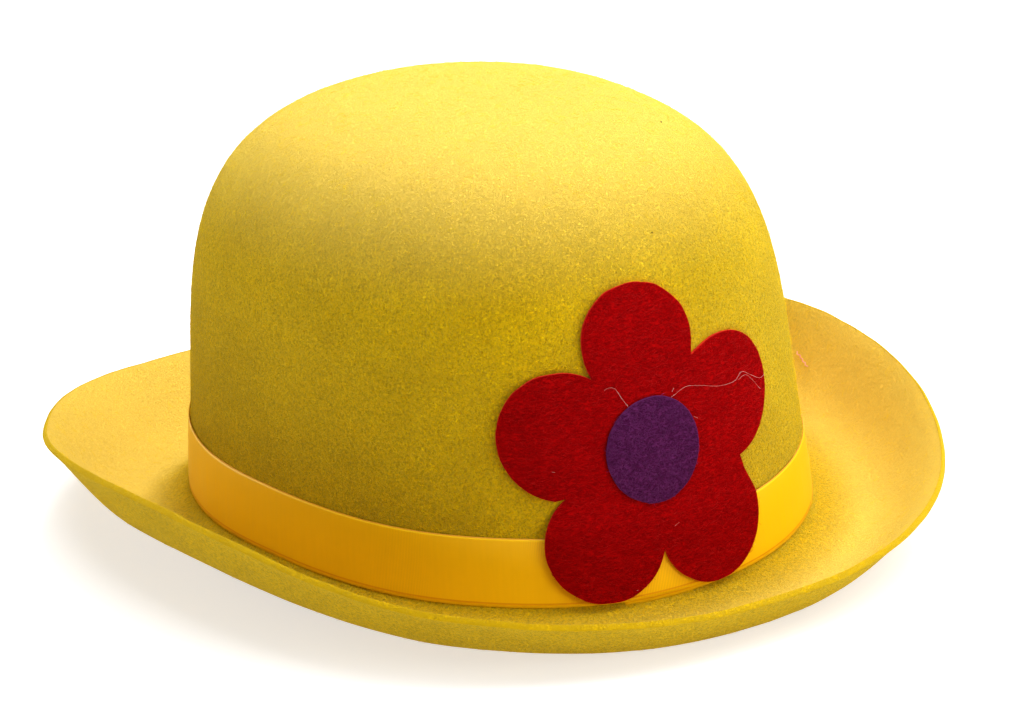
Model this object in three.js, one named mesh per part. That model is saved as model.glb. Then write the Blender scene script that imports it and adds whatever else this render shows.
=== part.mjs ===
// Costume bowler hat of moulded yellow felt, with a satin ribbon and a felt flower on its front.
// Millimetres, +Z up. The hat rests on its brim on Z = 0, its front faces -Y and the wearer's
// left is +X. The origin is the middle of the hat's footprint.

import * as THREE from 'three';

// Crown, measured on the outside. The tapers are how far each wall leans in over the full height.
const crownLength = 200;
const crownWidth = 173.8;
const crownRoundness = 2.18;
const hatHeight = 132.2;
const shoulderHeight = 54;
const domeSquareness = 3.45;
const sideTaper = 10.4;
const frontTaper = 6.4;
const backTaper = 14;
const crownLean = 4.2;

// Brim: widths beyond the crown, then heights that hold at the sides
const brimFront = 40.4;
const brimSide = 34.3;
const brimBack = 52.8;
const brimRoundness = 2.27;
const curlRise = 24.4;
const gutterLift = 11.3;

// How far the brim keeps the slope of its foot and of its rim, as shares of its width
const footHold = 0.66;
const rimHold = 0.38;

// Felt, and how far the brim's own weight presses its lowest lines flat on the floor
const feltThickness = 2;
const floorPress = 0.7;

// Brim stations from the front to the back, by plan angle in degrees. Both sides are alike.
// lift is a share of gutterLift, the height of the brim's lowest line over the floor. curl is a
// share of curlRise, the height of the rim over the crown's foot. reach is a share of the plain
// oval. leave and arrive are the slopes in degrees at the crown's foot and at the rim.
const brimStations = [
  { at: -90, lift: 0.00, curl: 0.390, reach: 1.000, leave: -20, arrive: 41 },
  { at: -45, lift: 0.39, curl: 0.530, reach: 0.991, leave: -21, arrive: 32 },
  { at: 0, lift: 1.00, curl: 1.000, reach: 1.000, leave: -11, arrive: 47 },
  { at: 45, lift: 0.51, curl: 0.545, reach: 0.985, leave: -41, arrive: 40 },
  { at: 90, lift: 0.00, curl: 0.403, reach: 1.000, leave: -33, arrive: 35 },
];

// Ribbon round the foot of the crown. Its ends lap behind the flower. Over the last lapRun of its
// length at each end, the inner end dips by lapDip and the outer end climbs by lapRise.
const ribbonWidth = 20.6;
const ribbonThickness = 1;
const ribbonAboveFoot = 1;
const ribbonLap = 28;
const lapMiddle = -10;
const lapDip = 0.8;
const lapRise = 0.8;
const lapRun = 45;
const lapStep = 10;

// Flower, by the height of its middle over the floor and how far it sits beside the front's middle
const flowerHeight = 50.7;
const flowerAside = -10.3;
const petalReach = 48;
const petalRadius = 17.5;
const notchRadius = 28;
const flowerFelt = 1.3;
const centreDiameter = 30;
const flowerRun = 16;

// Petals anticlockwise from the top one. turn is a petal's direction in degrees, reach its length
// as a share of petalReach and fullness its lobe as a share of petalRadius. notchTurn and
// notchReach place the notch after it, notchReach as a share of notchRadius.
const petals = [
  { turn: 91, reach: 1.01, fullness: 1, notchTurn: 126.5, notchReach: 0.94 },
  { turn: 164.5, reach: 0.97, fullness: 1.08, notchTurn: 201, notchReach: 1.04 },
  { turn: 235, reach: 1.01, fullness: 1.01, notchTurn: 269, notchReach: 0.99 },
  { turn: 303, reach: 1.015, fullness: 1.02, notchTurn: 341.5, notchReach: 1.15 },
  { turn: 377, reach: 0.99, fullness: 1.07, notchTurn: 416, notchReach: 1.02 },
];

// Clearance between pieces that lie on each other
const clearance = 0.3;

// Fineness of the surfaces
const aroundSteps = 72;
const wallSteps = 3;
const domeSteps = 10;
const brimSteps = 14;
const ribbonSteps = 108;
const petalSteps = 16;
const petalRings = 6;
const centreSteps = 40;
const centreRings = 3;

// How finely a line's length is measured, and how often a brim section is settled on its floor line
const measuringSteps = 360;
const settlingPasses = 3;

const FRONT = -Math.PI / 2;
const FULL_TURN = 2 * Math.PI;
const { clamp, degToRad, lerp, radToDeg, smoothstep } = THREE.MathUtils;

// Point at plan angle t on a rounded oval of half-size 1
function oval(t, roundness) {
  const bend = (value) => Math.sign(value) * Math.abs(value) ** (2 / roundness);
  return new THREE.Vector2(bend(Math.cos(t)), bend(Math.sin(t)));
}

// Point of the crown at plan angle t and height z, moved in from the outside by inset
function crownPoint(t, z, inset = 0) {
  const risen = z / hatHeight;
  const over = clamp((z - shoulderHeight) / (hatHeight - inset - shoulderHeight), 0, 1);
  const close = (1 - over ** domeSquareness) ** (1 / domeSquareness);
  const plan = oval(t, crownRoundness);
  const endTaper = plan.y < 0 ? frontTaper : backTaper;
  const halfWidth = (crownWidth / 2 - inset - sideTaper * risen) * close;
  const halfLength = (crownLength / 2 - inset - endTaper * risen) * close;
  return new THREE.Vector3(halfWidth * plan.x, halfLength * plan.y + crownLean * risen, z);
}

// Point that stands off the outside of the crown, square to its surface
function crownStandOff(t, z, distance) {
  const turnStep = 1e-3;
  const heightStep = 0.05;
  const along = crownPoint(t + turnStep, z).sub(crownPoint(t - turnStep, z));
  const upward = crownPoint(t, z + heightStep).sub(crownPoint(t, z - heightStep));
  const outward = along.cross(upward).normalize();
  return crownPoint(t, z).addScaledVector(outward, distance);
}

// One column of the brim stations at plan angle t, smooth through the stations
function station(t, column) {
  const last = brimStations.length - 1;
  const spacing = brimStations[1].at - brimStations[0].at;
  const degrees = radToDeg(Math.asin(Math.sin(t)));
  const place = clamp((degrees - brimStations[0].at) / spacing, 0, last);
  const index = Math.min(Math.floor(place), last - 1);
  const row = (i) => brimStations[last - Math.abs(last - Math.abs(i))][column];
  const here = row(index);
  const next = row(index + 1);
  const startSlope = (next - row(index - 1)) / 2;
  const endSlope = (row(index + 2) - here) / 2;
  const rise = next - here;
  const u = place - index;
  const cubic = startSlope + endSlope - 2 * rise;
  const square = 3 * rise - 2 * startSlope - endSlope;
  return here + u * (startSlope + u * (square + u * cubic));
}

// Point of the rim's upper edge in plan
function rimPlan(t) {
  const brimEnd = Math.sin(t) < 0 ? brimFront : brimBack;
  const halfSize = new THREE.Vector2(crownWidth / 2 + brimSide, crownLength / 2 + brimEnd);
  return oval(t, brimRoundness).multiply(halfSize).multiplyScalar(station(t, 'reach'));
}

// The brim's upper line at plan angle t, from the crown's foot at 0,0 out to the rim
function brimLine(t, width) {
  const leave = degToRad(station(t, 'leave'));
  const arrive = degToRad(station(t, 'arrive'));
  const foot = new THREE.Vector2(0, 0);
  const rim = new THREE.Vector2(width, station(t, 'curl') * curlRise);
  const footPull = new THREE.Vector2(Math.cos(leave), Math.sin(leave)).multiplyScalar(footHold * width);
  const rimPull = new THREE.Vector2(Math.cos(arrive), Math.sin(arrive)).multiplyScalar(rimHold * width);
  return new THREE.CubicBezierCurve(foot, footPull, rim.clone().sub(rimPull), rim);
}

// Point of the brim's underside below the point u of its upper line
function undersidePoint(line, u) {
  const tangent = line.getTangent(u);
  const down = new THREE.Vector2(tangent.y, -tangent.x);
  return line.getPoint(u).addScaledVector(down, feltThickness);
}

// The brim at plan angle t: the height of the crown's foot, and both faces as rows of points
function brimSection(t) {
  const rim = rimPlan(t);
  const shares = Array.from({ length: brimSteps + 1 }, (_, i) => i / brimSteps);
  let footHeight = 0;
  let foot = crownPoint(t, footHeight);
  let line = null;
  for (let pass = 0; pass < settlingPasses; pass += 1) {
    foot = crownPoint(t, footHeight);
    line = brimLine(t, Math.hypot(rim.x - foot.x, rim.y - foot.y));
    const lowest = Math.min(...shares.map((u) => undersidePoint(line, u).y));
    footHeight = station(t, 'lift') * gutterLift - floorPress - lowest;
  }
  const outward = new THREE.Vector3(rim.x - foot.x, rim.y - foot.y, 0).normalize();
  const place = (point) => {
    const placed = crownPoint(t, footHeight).addScaledVector(outward, point.x);
    placed.z = Math.max(footHeight + point.y, 0);
    return placed;
  };
  return {
    footHeight,
    upper: shares.map((u) => place(line.getPoint(u))),
    under: shares.map((u) => place(undersidePoint(line, u))),
  };
}

// Closed body from rows of points: the first and last rows are one point, the others are rings
function closedLoft(rows) {
  const positions = rows.flat().flatMap((point) => [point.x, point.y, point.z]);
  const ringLength = rows[1].length;
  const rings = rows.length - 2;
  const indices = [];
  const at = (ring, i) => 1 + ring * ringLength + (i % ringLength);
  const lastPoint = 1 + rings * ringLength;
  for (let i = 0; i < ringLength; i += 1) {
    indices.push(0, at(0, i), at(0, i + 1));
    for (let ring = 0; ring < rings - 1; ring += 1) {
      indices.push(at(ring, i), at(ring + 1, i), at(ring + 1, i + 1));
      indices.push(at(ring, i), at(ring + 1, i + 1), at(ring, i + 1));
    }
    indices.push(at(rings - 1, i), lastPoint, at(rings - 1, i + 1));
  }
  const geometry = new THREE.BufferGeometry();
  geometry.setAttribute('position', new THREE.Float32BufferAttribute(positions, 3));
  geometry.setIndex(indices);
  geometry.computeVertexNormals();
  return geometry;
}

// Heights of the dome's rings from the top down to the shoulder, closer together where it turns
function domeHeights(inset) {
  const rise = hatHeight - inset - shoulderHeight;
  return Array.from({ length: domeSteps }, (_, i) => {
    const lean = Math.PI / 2 * (1 - (i + 1) / domeSteps);
    return shoulderHeight + rise * Math.sin(lean) ** (2 / domeSquareness);
  });
}

// The moulded cap: down the outside of the crown, out along the brim, back under it and up inside
function feltGeometry() {
  const angles = Array.from({ length: aroundSteps }, (_, i) => FULL_TURN * i / aroundSteps);
  const sections = angles.map(brimSection);
  const ring = (pointAt) => angles.map((t, i) => pointAt(t, sections[i]));
  const wallHeight = (section, step) => lerp(shoulderHeight, section.footHeight, step / wallSteps);
  const rows = [[crownPoint(0, hatHeight)]];
  domeHeights(0).forEach((z) => rows.push(ring((t) => crownPoint(t, z))));
  for (let step = 1; step < wallSteps; step += 1) {
    rows.push(ring((t, section) => crownPoint(t, wallHeight(section, step))));
  }
  for (let step = 0; step <= brimSteps; step += 1) {
    rows.push(ring((t, section) => section.upper[step]));
  }
  for (let step = brimSteps; step >= 0; step -= 1) {
    rows.push(ring((t, section) => section.under[step]));
  }
  for (let step = wallSteps; step > 0; step -= 1) {
    rows.push(ring((t, section) => crownPoint(t, wallHeight(section, step), feltThickness)));
  }
  domeHeights(feltThickness).reverse().forEach((z) => {
    rows.push(ring((t) => crownPoint(t, z, feltThickness)));
  });
  rows.push([crownPoint(0, hatHeight - feltThickness, feltThickness)]);
  return closedLoft(rows);
}

// A line on the crown with its length measured, so that a distance along it can be looked up
function measuredLine(pointAt) {
  const line = new THREE.Curve();
  line.arcLengthDivisions = measuringSteps;
  line.getPoint = pointAt;
  return line;
}

// Plan angle at a distance round the crown from the middle of the front, at height z
function planAngle(distance, z) {
  const around = measuredLine((share) => crownPoint(FRONT + FULL_TURN * share, z));
  const length = around.getLength();
  const share = around.getUtoTmapping(0, THREE.MathUtils.euclideanModulo(distance, length));
  return FRONT + FULL_TURN * share;
}

// One strip from its inner end, once round the crown and on over its own start
function ribbonGeometry() {
  const middle = brimSection(FRONT).footHeight + ribbonAboveFoot + ribbonWidth / 2;
  const around = measuredLine((share) => crownPoint(FRONT + FULL_TURN * share, middle));
  const length = around.getLength();
  const start = lapMiddle - ribbonLap / 2;
  const end = length + lapMiddle + ribbonLap / 2;
  const lifted = length + start;
  const section = (distance) => {
    const t = planAngle(distance, middle);
    const overlapping = smoothstep(distance, lifted - lapStep, lifted);
    const climb = lapRise * smoothstep(distance, end - lapRun, end);
    const dip = lapDip * (1 - smoothstep(distance, start, start + lapRun));
    const seat = clearance + (ribbonThickness + clearance) * overlapping;
    const low = brimSection(t).footHeight + ribbonAboveFoot + climb - dip;
    const high = low + ribbonWidth;
    const outer = seat + ribbonThickness;
    return [
      crownStandOff(t, low, outer),
      crownStandOff(t, high, outer),
      crownStandOff(t, high, seat),
      crownStandOff(t, low, seat),
    ];
  };
  const rings = Array.from({ length: ribbonSteps + 1 }, (_, i) => {
    return section(lerp(start, end, i / ribbonSteps));
  });
  const endCap = (ring) => [ring[0].clone().add(ring[1]).add(ring[2]).add(ring[3]).divideScalar(4)];
  return closedLoft([endCap(rings[0]), ...rings, endCap(rings[ribbonSteps])]);
}

// How far the flower's back stands off the crown: over the lapped ribbon, then down to the felt
function flowerSeat(t, z) {
  const ribbonTop = brimSection(t).footHeight + ribbonAboveFoot + ribbonWidth + lapRise;
  const overLap = 2 * (clearance + ribbonThickness) + clearance;
  return lerp(overLap, clearance, smoothstep(z, ribbonTop, ribbonTop + flowerRun));
}

// Height at a distance up the front of the crown from the flower's middle
function heightUpWall(distance) {
  const wall = measuredLine((share) => crownPoint(FRONT, hatHeight * share));
  const below = wall.getLengths().at(Math.round(measuringSteps * flowerHeight / hatHeight));
  return hatHeight * wall.getUtoTmapping(0, below + distance);
}

// Felt shape laid on the crown at the flower's place, from its outline as radii at given turns
function laidFelt(outline, ringCount, lift) {
  const spot = (radius, turn, extra) => {
    const z = heightUpWall(radius * Math.sin(turn));
    const t = planAngle(flowerAside + radius * Math.cos(turn), z);
    return crownStandOff(t, z, flowerSeat(t, z) + lift + extra);
  };
  const face = (extra) => {
    const rings = Array.from({ length: ringCount }, (_, i) => {
      return outline.map(({ turn, radius }) => spot(radius * (i + 1) / ringCount, turn, extra));
    });
    return [[spot(0, 0, extra)], ...rings];
  };
  return closedLoft([...face(flowerFelt), ...face(0).reverse()]);
}

// Point at a turn and a radius in the flower's own plane
function polar(turn, radius) {
  return new THREE.Vector2(Math.cos(turn), Math.sin(turn)).multiplyScalar(radius);
}

// Radius of a petal's edge at an angle off its middle line: a round lobe, with a straight side
// down to the notch before it and to the notch after it
function petalEdge(petal, notchBefore, notchAfter) {
  const lobeRadius = petalRadius * petal.fullness;
  const distance = petalReach * petal.reach - lobeRadius;
  const lobeMiddle = polar(0, distance);
  const sides = [notchBefore, notchAfter].map((notch) => {
    const towards = notch.clone().sub(lobeMiddle);
    const open = Math.acos(Math.min(lobeRadius / towards.length(), 1));
    const touches = [open, -open].map((angle) => {
      return polar(towards.angle() + angle, lobeRadius).add(lobeMiddle);
    });
    const touch = touches[0].length() > touches[1].length() ? touches[0] : touches[1];
    return { notch, run: touch.clone().sub(notch), touchTurn: Math.atan2(touch.y, touch.x) };
  });
  return (off) => {
    const side = sides.find(({ touchTurn }) => Math.abs(off) > Math.abs(touchTurn) && off * touchTurn > 0);
    if (side) return side.notch.cross(side.run) / polar(off, 1).cross(side.run);
    const across = lobeRadius ** 2 - (distance * Math.sin(off)) ** 2;
    return distance * Math.cos(off) + Math.sqrt(Math.max(across, 0));
  };
}

// Outline of the five petals, from notch to notch
function petalOutline() {
  const count = petals.length;
  return petals.flatMap((petal, i) => {
    const previous = petals[(i + count - 1) % count];
    const turn = degToRad(petal.turn);
    const from = degToRad(previous.notchTurn) - (i === 0 ? FULL_TURN : 0) - turn;
    const to = degToRad(petal.notchTurn) - turn;
    const notchBefore = polar(from, notchRadius * previous.notchReach);
    const notchAfter = polar(to, notchRadius * petal.notchReach);
    const edge = petalEdge(petal, notchBefore, notchAfter);
    return Array.from({ length: petalSteps }, (_, step) => {
      const off = lerp(from, to, step / petalSteps);
      return { turn: turn + off, radius: edge(off) };
    });
  });
}

// Outline of the round centre
function centreOutline() {
  return Array.from({ length: centreSteps }, (_, i) => {
    return { turn: FULL_TURN * i / centreSteps, radius: centreDiameter / 2 };
  });
}

const yellowFelt = new THREE.MeshStandardMaterial({ color: 0xf0c92c, roughness: 0.95, metalness: 0 });
const yellowSatin = new THREE.MeshStandardMaterial({ color: 0xeaa800, roughness: 0.5, metalness: 0 });
const redFelt = new THREE.MeshStandardMaterial({ color: 0xa80808, roughness: 0.95, metalness: 0 });
const purpleFelt = new THREE.MeshStandardMaterial({ color: 0x551a66, roughness: 0.95, metalness: 0 });

function piece(name, geometry, material) {
  const mesh = new THREE.Mesh(geometry, material);
  mesh.name = name;
  return mesh;
}

const hat = new THREE.Group();
hat.add(piece('felt_body', feltGeometry(), yellowFelt));
hat.add(piece('ribbon_band', ribbonGeometry(), yellowSatin));
hat.add(piece('flower_petals', laidFelt(petalOutline(), petalRings, 0), redFelt));
hat.add(piece('flower_centre', laidFelt(centreOutline(), centreRings, flowerFelt + clearance), purpleFelt));

// The middle of the footprint goes to the origin
const footprint = new THREE.Box3().setFromObject(hat);
const middle = footprint.getCenter(new THREE.Vector3());
hat.position.set(-middle.x, -middle.y, -footprint.min.z);

export default hat;
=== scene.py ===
import logging
import math
from dataclasses import dataclass
from enum import Enum
from typing import Callable

import bpy
import numpy as np
from bpy.types import Material, Mesh, Node, NodeSocket, NodeTree, Object
from mathutils import Matrix, Vector, noise
from numpy import ndarray as Array


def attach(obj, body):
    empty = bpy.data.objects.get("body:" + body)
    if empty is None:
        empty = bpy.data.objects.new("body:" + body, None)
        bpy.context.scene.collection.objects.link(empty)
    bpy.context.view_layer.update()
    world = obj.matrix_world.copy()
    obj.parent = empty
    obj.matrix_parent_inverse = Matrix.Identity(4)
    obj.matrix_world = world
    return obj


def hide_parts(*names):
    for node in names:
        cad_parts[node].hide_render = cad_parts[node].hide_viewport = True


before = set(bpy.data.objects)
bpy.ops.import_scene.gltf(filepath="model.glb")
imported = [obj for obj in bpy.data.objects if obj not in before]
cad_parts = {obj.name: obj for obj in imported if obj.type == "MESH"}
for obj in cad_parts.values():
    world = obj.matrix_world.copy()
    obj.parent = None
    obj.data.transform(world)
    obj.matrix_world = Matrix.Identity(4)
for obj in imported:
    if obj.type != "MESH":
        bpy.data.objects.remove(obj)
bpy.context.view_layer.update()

log = logging.getLogger("clown_hat")
MM = 0.001
FRONT = -math.pi / 2
FULL_TURN = 2 * math.pi
RIBBON_WIDTH = 20.6 * MM


class Lie(Enum):
    """How loose fibres lie on a felt: any way round, or mostly level."""

    ANY_WAY = math.pi
    MOSTLY_LEVEL = 0.5


# Meshes


def smooth_share(value: Array, low: float, high: float) -> Array:
    """Ease from 0 at low to 1 at high.

    Args:
        value: Values to ease.
        low: Where the easing starts.
        high: Where it ends.

    Returns:
        Shares from 0 to 1.
    """
    share = np.clip((value - low) / (high - low), 0, 1)
    return share * share * (3 - 2 * share)


def rounded(at: Array, places: Array, values: Array) -> Array:
    """Smooth values between knots, with the slope at each knot set by its neighbours.

    Args:
        at: Where the values are wanted.
        places: Places of the knots, 0, 1, 2 and on.
        values: Values at the knots.

    Returns:
        The smoothed values.
    """
    slopes = np.gradient(values) if len(values) > 1 else np.zeros(1)
    low = np.clip(np.floor(at).astype(int), 0, len(places) - 2)
    u = at - low
    start, end = values[low], values[low + 1]
    rise = end - start
    first, last = slopes[low], slopes[low + 1]
    return start + u * (first + u * (3 * rise - 2 * first - last + u * (first + last - 2 * rise)))


def rough(points: Array, pitch: float, seed: float = 0.0) -> Array:
    """Soft random values of about -1 to 1 that change over the pitch; another seed, another pattern."""
    flat = points.reshape(-1, 3) / pitch + seed
    values = [noise.noise(Vector(p)) for p in flat.tolist()]
    return np.array(values).reshape(points.shape[:-1])


def make_piece(name: str, points: Array, faces: list) -> Object:
    """Turn points and faces into a smooth-shaded piece at the origin.

    Args:
        name: Name of the piece.
        points: Points in metres, one a row.
        faces: Tuples of point numbers.

    Returns:
        The new object, linked to the scene.
    """
    mesh = bpy.data.meshes.new(name)
    mesh.from_pydata(points.tolist(), [], faces)
    mesh.shade_smooth()
    mesh.update()
    piece = bpy.data.objects.new(name, mesh)
    bpy.context.scene.collection.objects.link(piece)
    return piece


def closed_loft(name: str, first: Array, rings: Array, last: Array) -> Object:
    """Skin a stack of rings and close both ends with a point.

    Args:
        name: Name of the piece.
        first: The point before the first ring.
        rings: Points by ring and by place along the ring.
        last: The point after the last ring.

    Returns:
        The new object. Its points are the first one, the rings in order and the last one.
    """
    ring_count, length = rings.shape[:2]
    points = np.vstack([first[None], rings.reshape(-1, 3), last[None]])
    end = len(points) - 1
    here = np.arange(length)
    after = (here + 1) % length
    faces = [(0, int(1 + a), int(1 + b)) for a, b in zip(here, after)]
    for ring in range(ring_count - 1):
        low, high = 1 + ring * length, 1 + (ring + 1) * length
        quads = np.stack([low + here, high + here, high + after, low + after], axis=1)
        faces.extend(map(tuple, quads.tolist()))
    low = 1 + (ring_count - 1) * length
    faces.extend((int(low + a), end, int(low + b)) for a, b in zip(here, after))
    return make_piece(name, points, faces)


def line_mesh(name: str, points: Array, edges: list) -> Mesh:
    """Make a mesh of points and of edges alone."""
    mesh = bpy.data.meshes.new(name)
    mesh.from_pydata([tuple(map(float, point)) for point in points], edges, [])
    return mesh


def set_attribute(piece: Object, name: str, values: Array) -> None:
    """Store one number for each point of a piece.

    Args:
        piece: The piece.
        name: Name of the attribute.
        values: The numbers, in the order of the points.
    """
    attribute = piece.data.attributes.new(name, "FLOAT", "POINT")
    attribute.data.foreach_set("value", np.asarray(values, dtype=np.float32).ravel())


# Form of the hat


@dataclass(frozen=True)
class Station:
    """One station of the brim, from the front to the back.

    lift is a share of the gutter's lift, curl of the curl's rise and reach of the plain oval;
    leave and arrive are the brim's slopes in degrees at the crown and at the rim.
    """

    lift: float
    curl: float
    reach: float
    leave: float
    arrive: float


@dataclass
class HatForm:
    """The hat's own curves, in metres, with the front at -Y."""

    crown_length: float = 200 * MM
    crown_width: float = 173.8 * MM
    crown_roundness: float = 2.18
    height: float = 132.2 * MM
    shoulder: float = 54 * MM
    squareness: float = 3.45
    side_taper: float = 10.4 * MM
    front_taper: float = 6.4 * MM
    back_taper: float = 14 * MM
    lean: float = 4.2 * MM
    brim_front: float = 40.4 * MM
    brim_side: float = 34.3 * MM
    brim_back: float = 52.8 * MM
    brim_roundness: float = 2.27
    curl_rise: float = 24.4 * MM
    gutter_lift: float = 11.3 * MM
    foot_hold: float = 0.66
    rim_hold: float = 0.38
    felt: float = 2 * MM
    floor_press: float = 0.7 * MM
    stations: tuple[Station, ...] = (
        Station(0.00, 0.390, 1.000, -20, 41),
        Station(0.39, 0.530, 0.991, -21, 32),
        Station(1.00, 1.000, 1.000, -11, 47),
        Station(0.51, 0.545, 0.985, -41, 40),
        Station(0.00, 0.403, 1.000, -33, 35),
    )
    shift: float = -6.1 * MM

    def oval(self, t: Array, roundness: float) -> tuple[Array, Array]:
        """Point at plan angle t on a rounded oval of half-size 1, as x and y."""
        c, s = np.cos(t), np.sin(t)
        power = 2 / roundness
        return np.sign(c) * np.abs(c) ** power, np.sign(s) * np.abs(s) ** power

    def crown(self, t: Array, z: Array, inset: float = 0.0) -> Array:
        """Points of the crown.

        Args:
            t: Plan angles.
            z: Heights over the floor.
            inset: How far in from the outside.

        Returns:
            Points, with x, y and z on the last axis.
        """
        t, z = np.broadcast_arrays(np.asarray(t, float), np.asarray(z, float))
        risen = z / self.height
        over = np.clip((z - self.shoulder) / (self.height - inset - self.shoulder), 0, 1)
        close = (1 - over ** self.squareness) ** (1 / self.squareness)
        x, y = self.oval(t, self.crown_roundness)
        taper = np.where(y < 0, self.front_taper, self.back_taper)
        wide = (self.crown_width / 2 - inset - self.side_taper * risen) * close
        long = (self.crown_length / 2 - inset - taper * risen) * close
        return np.stack([wide * x, long * y + self.lean * risen + self.shift, z], axis=-1)

    def stand_off(self, t: Array, z: Array, distance: Array) -> Array:
        """Points at a distance off the outside of the crown, square to it.

        Args:
            t: Plan angles.
            z: Heights.
            distance: Distances off the surface.

        Returns:
            Points, with x, y and z on the last axis.
        """
        turn, climb = 1e-3, 0.05 * MM
        along = self.crown(t + turn, z) - self.crown(t - turn, z)
        upward = self.crown(t, z + climb) - self.crown(t, z - climb)
        out = np.cross(along, upward)
        out /= np.linalg.norm(out, axis=-1, keepdims=True)
        return self.crown(t, z) + out * np.asarray(distance)[..., None]

    def station(self, t: Array, column: str) -> Array:
        """One column of the brim's stations at plan angle t, smooth through the stations."""
        values = np.array([getattr(row, column) for row in self.stations], float)
        last = len(values) - 1
        place = np.clip((np.arcsin(np.sin(t)) / math.pi + 0.5) * last, 0, last)
        index = np.minimum(np.floor(place).astype(int), last - 1)
        mirrored = np.concatenate([[values[1]], values, [values[-2]]])
        before, here, following, beyond = (mirrored[index + k] for k in range(4))
        u = place - index
        start, end, rise = (following - before) / 2, (beyond - here) / 2, following - here
        return here + u * (start + u * (3 * rise - 2 * start - end + u * (start + end - 2 * rise)))

    def brim(self, t: Array, steps: int) -> tuple[Array, Array, Array, Array]:
        """The brim's two faces at plan angles t.

        Args:
            t: Plan angles.
            steps: Steps from the crown's foot to the rim.

        Returns:
            The foot's heights, the upper points, the lower points and the outward tangents,
            each by step and by plan angle.
        """
        x, y = self.oval(t, self.brim_roundness)
        end = np.where(np.sin(t) < 0, self.brim_front, self.brim_back)
        reach = self.station(t, "reach")
        rim_x = x * (self.crown_width / 2 + self.brim_side) * reach
        rim_y = y * (self.crown_length / 2 + end) * reach + self.shift
        leave, arrive = np.radians(self.station(t, "leave")), np.radians(self.station(t, "arrive"))
        curl = self.station(t, "curl") * self.curl_rise
        u = np.linspace(0, 1, steps + 1)[:, None]
        foot = np.zeros_like(t)
        for _ in range(3):
            start = self.crown(t, foot)
            width = np.hypot(rim_x - start[:, 0], rim_y - start[:, 1])
            pulls = [
                (np.zeros_like(t), np.zeros_like(t)),
                (self.foot_hold * width * np.cos(leave), self.foot_hold * width * np.sin(leave)),
                (width * (1 - self.rim_hold * np.cos(arrive)), curl - self.rim_hold * width * np.sin(arrive)),
                (width, curl),
            ]
            weights = [(1 - u) ** 3, 3 * u * (1 - u) ** 2, 3 * u * u * (1 - u), u ** 3]
            slopes = [-3 * (1 - u) ** 2, 3 * (1 - u) * (1 - 3 * u), 3 * u * (2 - 3 * u), 3 * u * u]
            across, rise = (sum(w * p[k] for w, p in zip(weights, pulls)) for k in (0, 1))
            d_across, d_rise = (sum(w * p[k] for w, p in zip(slopes, pulls)) for k in (0, 1))
            length = np.hypot(d_across, d_rise)
            d_across, d_rise = d_across / length, d_rise / length
            under_across, under_rise = across + self.felt * d_rise, rise - self.felt * d_across
            foot = self.station(t, "lift") * self.gutter_lift - self.floor_press - under_rise.min(axis=0)
        start = self.crown(t, foot)
        out = np.stack([rim_x - start[:, 0], rim_y - start[:, 1]], axis=-1)
        out /= np.linalg.norm(out, axis=-1, keepdims=True)

        def place(offset: Array, climb: Array) -> Array:
            """Put points at an offset and a climb from the foot of the crown."""
            plan = start[None, :, :2] + out[None] * offset[..., None]
            return np.concatenate([plan, np.maximum(foot + climb, 0)[..., None]], axis=-1)

        tangent = np.concatenate([out[None] * d_across[..., None], d_rise[..., None]], axis=-1)
        return foot, place(across, rise), place(under_across, under_rise), tangent

    def arc_table(self, z: float, count: int = 1440) -> tuple[Array, Array]:
        """Distances round the crown from the middle of the front at height z, and their angles."""
        t = np.linspace(FRONT, FRONT + FULL_TURN, count + 1)
        line = self.crown(t, z)
        steps = np.linalg.norm(np.diff(line, axis=0), axis=1)
        return np.concatenate([[0], np.cumsum(steps)]), t

    def plan_angle(self, distance: Array, z: Array) -> Array:
        """Plan angles at distances round the crown from the front, positive towards the wearer's left."""
        levels = np.linspace(4 * MM, 112 * MM, 28)
        distance, z = np.broadcast_arrays(np.asarray(distance, float), np.asarray(z, float))
        tables = [self.arc_table(level) for level in levels]
        turns = np.stack([np.interp(np.mod(distance, arc[-1]), arc, t) for arc, t in tables])
        spot = np.clip((z - levels[0]) / (levels[1] - levels[0]), 0, len(levels) - 1.001)
        low = spot.astype(int)
        picked = [np.take_along_axis(turns, (low + k)[None], axis=0)[0] for k in (0, 1)]
        return picked[0] + (picked[1] - picked[0]) * (spot - low)

    def height_up_wall(self, start: float, distance: Array) -> Array:
        """Heights at distances up the front of the crown from a start height."""
        z = np.linspace(0, self.height * 0.995, 2000)
        line = self.crown(FRONT, z)
        arc = np.concatenate([[0], np.cumsum(np.linalg.norm(np.diff(line, axis=0), axis=1))])
        return np.interp(np.interp(start, z, arc) + distance, arc, z)


# Node trees


Value = object


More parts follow.
